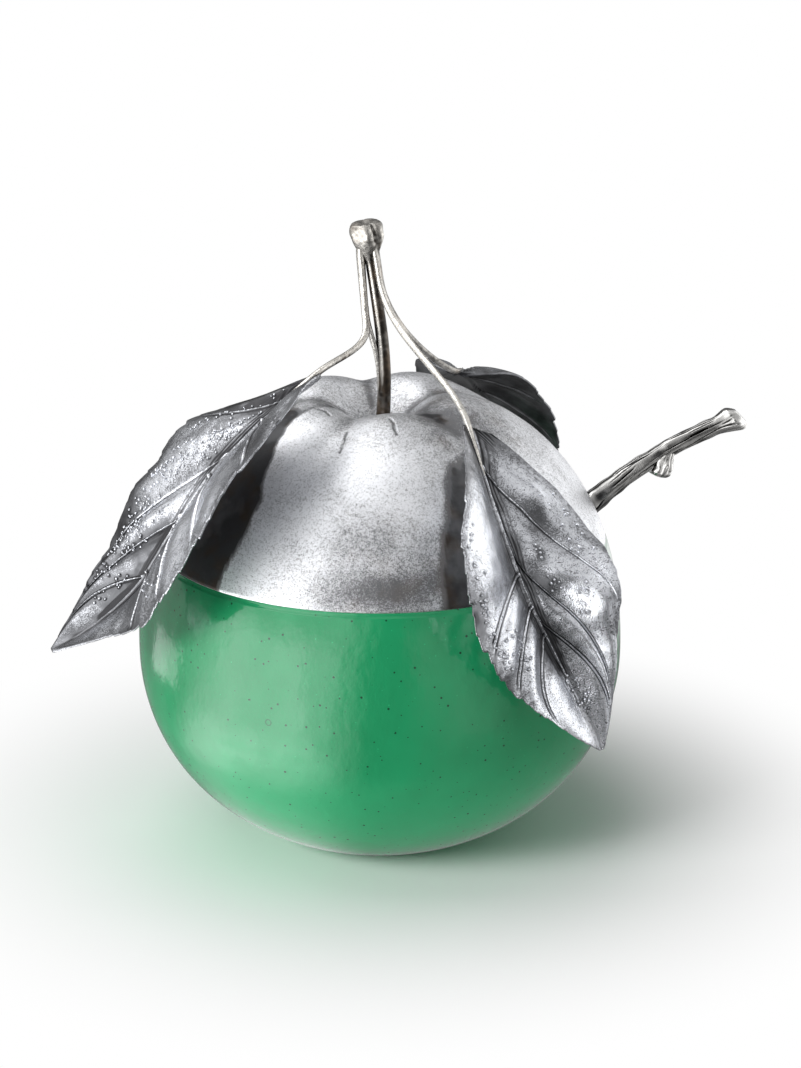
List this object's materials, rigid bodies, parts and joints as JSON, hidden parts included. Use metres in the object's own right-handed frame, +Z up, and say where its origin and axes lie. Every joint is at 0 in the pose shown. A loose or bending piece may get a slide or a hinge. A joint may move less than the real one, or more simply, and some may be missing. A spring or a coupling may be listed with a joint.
{
  "type": "jam pot",
  "caption": "Round fruit-shaped glass jam pot with a lift-off silver lid carrying a stalk and drooping leaves, and a twig-handled spoon through a notch.",
  "frame": {"origin": "centre of the flat base that the glass bowl stands on", "axes": "+Z up along the fruit's axis, +X towards the lid's notch and the spoon's handle"},
  "size_m": [0.1455, 0.1202, 0.1278],
  "materials": {
    "green_glass": "gloss",
    "lid_silver": "satin",
    "leaf_silver": "satin",
    "stem_silver": "satin",
    "twig_silver": "satin",
    "plain_silver": "polished"
  },
  "bodies": {
    "bowl": {"glass_bowl": "green_glass"},
    "lid": {"lid_dome": "lid_silver", "lid_locating_ring": "plain_silver", "fruit_stalk": "stem_silver", "stalk_washer": "plain_silver", "stalk_nut": "plain_silver", "left_leaf_blade": "leaf_silver", "left_leaf_petiole": "stem_silver", "front_leaf_blade": "leaf_silver", "front_leaf_petiole": "stem_silver", "back_leaf_blade": "leaf_silver", "back_leaf_petiole": "stem_silver"},
    "spoon": {"spoon_bowl": "plain_silver", "spoon_twig_handle": "twig_silver"}
  },
  "joints": [
    {"name": "lid_lift", "type": "slide", "parent": "bowl", "child": "lid", "axis": [0, 0, 1], "range_m": [0, 0.1]},
    {"name": "spoon_draw", "type": "slide", "parent": "bowl", "child": "spoon", "axis": [0.7604, 0, 0.6494], "range_m": [0, 0.034]}
  ]
}
